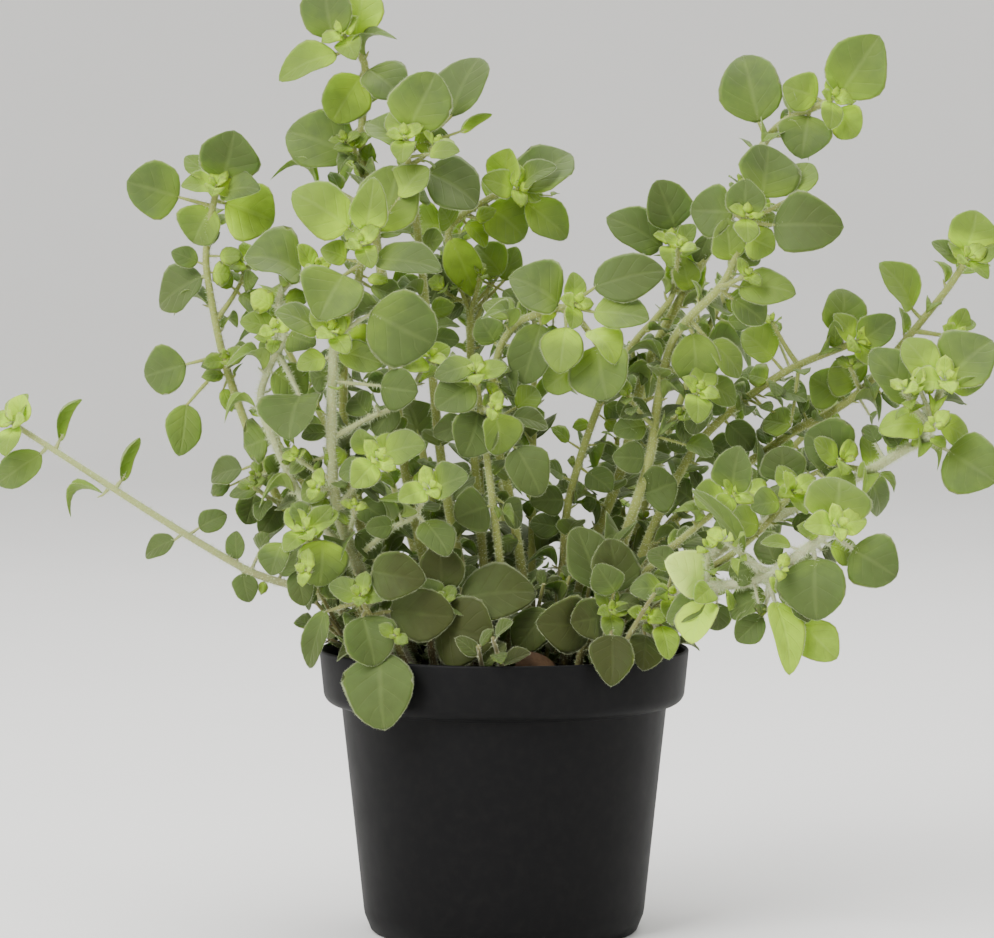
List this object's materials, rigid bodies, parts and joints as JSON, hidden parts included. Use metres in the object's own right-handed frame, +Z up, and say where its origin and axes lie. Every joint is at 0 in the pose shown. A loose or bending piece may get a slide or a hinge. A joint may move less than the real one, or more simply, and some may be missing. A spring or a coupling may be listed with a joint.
{
  "type": "potted oregano",
  "caption": "Young oregano plant of leaning leafy stems with paired ovate leaves, in a black nursery pot filled with soil.",
  "frame": {"origin": "middle of the pot's flat base, on the ground", "axes": "+Z up out of the pot, +Y away from the side that the picture shows, +X to the picture's right, which is the plant's longest way"},
  "size_m": [0.3235, 0.1876, 0.3085],
  "materials": {
    "pot": "black moulded plastic with a soft sheen",
    "soil": "dark crumbly potting soil",
    "plant": "soft, finely hairy green leaves and stems"
  },
  "bodies": {
    "root": {"pot": "pot", "soil": "soil", "stem_left_trailing": "plant", "stem_left_upright": "plant", "stem_left_pale": "plant", "stem_centre_left": "plant", "stem_centre_left_tall": "plant", "stem_top_left": "plant", "stem_top_centre": "plant", "stem_centre_top": "plant", "stem_centre": "plant", "stem_centre_low": "plant", "stem_low_left": "plant", "base_left": "plant", "base_centre": "plant", "base_right": "plant", "base_far_right": "plant", "stem_front_right": "plant", "stem_right_low": "plant", "stem_right_low_outer": "plant", "stem_right_long": "plant", "stem_right_far": "plant", "stem_right_white": "plant", "stem_right_yellow": "plant", "stem_right_main": "plant", "stem_right_top": "plant", "back_left_low": "plant", "back_left": "plant", "back_left_tall": "plant", "back_centre": "plant", "back_centre_low": "plant", "back_middle_low": "plant", "back_centre_right": "plant", "back_right": "plant", "back_right_tall": "plant", "back_right_low": "plant", "back_right_outer": "plant"}
  },
  "joints": []
}
